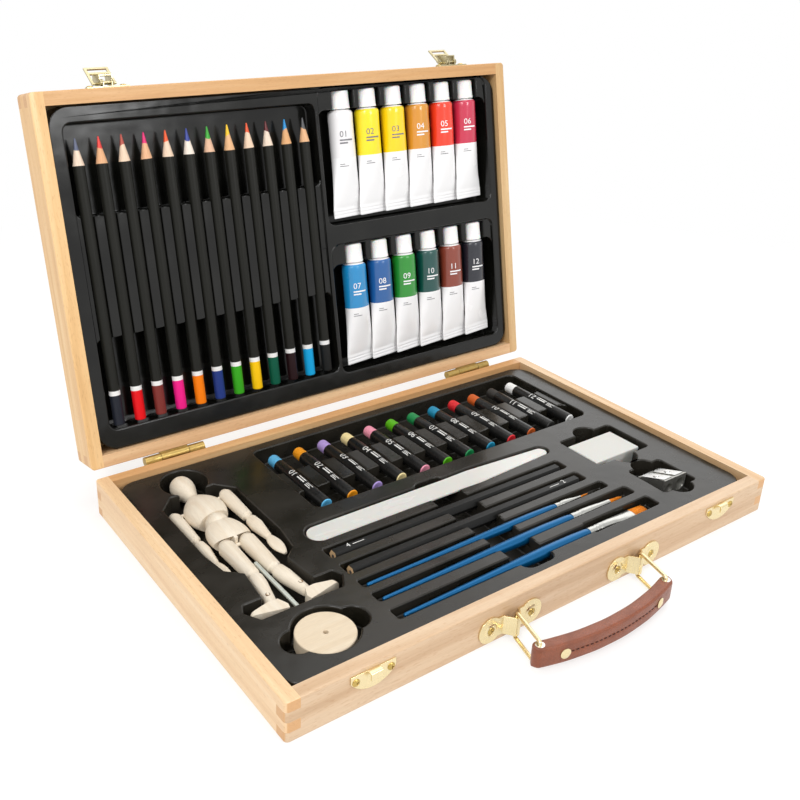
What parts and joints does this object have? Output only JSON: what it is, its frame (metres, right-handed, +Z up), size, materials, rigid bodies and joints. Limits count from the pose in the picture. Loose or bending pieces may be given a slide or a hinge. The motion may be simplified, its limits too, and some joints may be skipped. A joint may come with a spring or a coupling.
{
  "type": "wooden art set box",
  "caption": "Hinged wooden case, standing open, with formed trays that hold pencils, paint tubes, pastels, brushes and a jointed figure; latches and a leather handle in front.",
  "frame": {"origin": "middle of the base's underside, on the surface it stands on", "axes": "+Z up, +X along the hinge to the right as seen from the front, +Y from the front with the handle to the hinge"},
  "size_m": [0.356, 0.3342, 0.2553],
  "materials": {
    "beech_wood": "satin",
    "plywood_panel": "satin",
    "tray_plastic": "satin gloss",
    "pale_brass_plate": "polished",
    "nickel_tube": "polished",
    "brown_leather": "satin",
    "pencil_lacquer": "gloss lacquer in twelve colours",
    "pencil_lead": "matte",
    "tube_foil": "painted foil",
    "white_cap_plastic": "satin",
    "pastel_stick": "waxy, in twelve colours",
    "black_sleeve": "printed paper",
    "white_plastic": "satin, slightly translucent",
    "black_pencil_lacquer": "gloss",
    "graphite": "dull",
    "blue_brush_lacquer": "pearl gloss",
    "ferrule_metal": "polished",
    "orange_bristle": "nylon hair",
    "white_rubber": "matte",
    "cast_magnesium": "satin",
    "blade_steel": "brushed",
    "brass_screw": "polished",
    "pale_turned_wood": "sanded",
    "rod_metal": "satin"
  },
  "bodies": {
    "base": {"base_front_wall": "beech_wood", "base_back_wall": "beech_wood", "base_left_wall": "beech_wood", "base_right_wall": "beech_wood", "base_panel": "plywood_panel", "base_tray": "tray_plastic", "base_screws": "pale_brass_plate", "hinge_base_leaf_left": "pale_brass_plate", "hinge_base_leaf_right": "pale_brass_plate", "hinge_pins": "pale_brass_plate", "catch_plate_left": "pale_brass_plate", "catch_plate_right": "pale_brass_plate", "handle_bracket_left": "pale_brass_plate", "handle_bracket_right": "pale_brass_plate", "pastel_sticks": "pastel_stick", "pastel_sleeves": "black_sleeve", "palette_knife": "white_plastic", "graphite_pencils": "black_pencil_lacquer", "graphite_cores": "graphite", "brush_handles": "blue_brush_lacquer", "brush_ferrules": "ferrule_metal", "brush_bristles": "orange_bristle", "eraser": "white_rubber", "sharpener_body": "cast_magnesium", "sharpener_blades": "blade_steel", "sharpener_screws": "brass_screw", "figure_head": "pale_turned_wood", "figure_torso": "pale_turned_wood", "figure_stand": "pale_turned_wood", "figure_rod": "rod_metal"},
    "lid": {"lid_front_wall": "beech_wood", "lid_back_wall": "beech_wood", "lid_left_wall": "beech_wood", "lid_right_wall": "beech_wood", "lid_panel": "plywood_panel", "lid_tray": "tray_plastic", "lid_screws": "pale_brass_plate", "hinge_lid_leaf_left": "pale_brass_plate", "hinge_lid_leaf_right": "pale_brass_plate", "latch_plate_left": "pale_brass_plate", "latch_plate_right": "pale_brass_plate", "latch_pivots": "pale_brass_plate", "coloured_pencils": "pencil_lacquer", "pencil_leads": "pencil_lead", "paint_tubes": "tube_foil", "tube_caps": "white_cap_plastic"},
    "latch_lever_left": {"latch_lever_left": "pale_brass_plate"},
    "latch_loop_left": {"latch_loop_left": "pale_brass_plate"},
    "latch_lever_right": {"latch_lever_right": "pale_brass_plate"},
    "latch_loop_right": {"latch_loop_right": "pale_brass_plate"},
    "handle_ring_left": {"handle_ring_left": "pale_brass_plate"},
    "handle_grip": {"handle_grip": "brown_leather", "grip_tubes": "nickel_tube", "grip_rivets": "pale_brass_plate"},
    "handle_ring_right": {"handle_ring_right": "pale_brass_plate"},
    "figure_arm_left": {"figure_arm_left": "pale_turned_wood"},
    "figure_leg_left": {"figure_leg_left": "pale_turned_wood"},
    "figure_arm_right": {"figure_arm_right": "pale_turned_wood"},
    "figure_leg_right": {"figure_leg_right": "pale_turned_wood"}
  },
  "joints": [
    {"name": "lid_hinge", "type": "hinge", "parent": "base", "child": "lid", "pos_m": [0, 0.11565, 0.02355], "axis": [-1, 0, 0], "range_deg": [-101.5, 0]},
    {"name": "latch_lever_left_lift", "type": "hinge", "parent": "lid", "child": "latch_lever_left", "pos_m": [-0.1305, 0.16653, 0.24883], "axis": [1, 0, 0], "range_deg": [0, 110]},
    {"name": "latch_loop_left_swing", "type": "hinge", "parent": "latch_lever_left", "child": "latch_loop_left", "pos_m": [-0.1305, 0.17086, 0.24754], "axis": [-1, 0, 0], "range_deg": [-141.16, 0]},
    {"name": "latch_lever_right_lift", "type": "hinge", "parent": "lid", "child": "latch_lever_right", "pos_m": [0.1305, 0.16653, 0.24883], "axis": [1, 0, 0], "range_deg": [0, 110]},
    {"name": "latch_loop_right_swing", "type": "hinge", "parent": "latch_lever_right", "child": "latch_loop_right", "pos_m": [0.1305, 0.17086, 0.24754], "axis": [-1, 0, 0], "range_deg": [-141.16, 0]},
    {"name": "handle_swing", "type": "hinge", "parent": "base", "child": "handle_ring_left", "pos_m": [-0.0426, -0.11675, 0.0092], "axis": [0, 0, 1], "range_deg": [-50, 80]},
    {"name": "grip_pivot", "type": "hinge", "parent": "handle_ring_left", "child": "handle_grip", "pos_m": [-0.04868, -0.13945, 0.0092], "axis": [0, 0, 1], "range_deg": [-80, 50]},
    {"name": "ring_right_swing", "type": "hinge", "parent": "base", "child": "handle_ring_right", "pos_m": [0.053, -0.11675, 0.0092], "axis": [0, 0, 1], "range_deg": [-50, 80]},
    {"name": "figure_shoulder_left", "type": "hinge", "parent": "base", "child": "figure_arm_left", "pos_m": [-0.14847, 0.0635, 0.01081], "axis": [-0.9866, 0, -0.1633], "range_deg": [0, 60]},
    {"name": "figure_hip_left", "type": "hinge", "parent": "base", "child": "figure_leg_left", "pos_m": [-0.1382, 0.0175, 0.0136], "axis": [-1, 0, 0], "range_deg": [0, 60]},
    {"name": "figure_shoulder_right", "type": "hinge", "parent": "base", "child": "figure_arm_right", "pos_m": [-0.11473, 0.0635, 0.01639], "axis": [-0.9866, 0, -0.1633], "range_deg": [0, 60]},
    {"name": "figure_hip_right", "type": "hinge", "parent": "base", "child": "figure_leg_right", "pos_m": [-0.125, 0.0175, 0.0136], "axis": [-1, 0, 0], "range_deg": [0, 60]}
  ],
  "couplings": [
    {"joint": "grip_pivot", "follows": "handle_swing", "ratio": -1},
    {"joint": "ring_right_swing", "follows": "handle_swing", "ratio": 1}
  ]
}
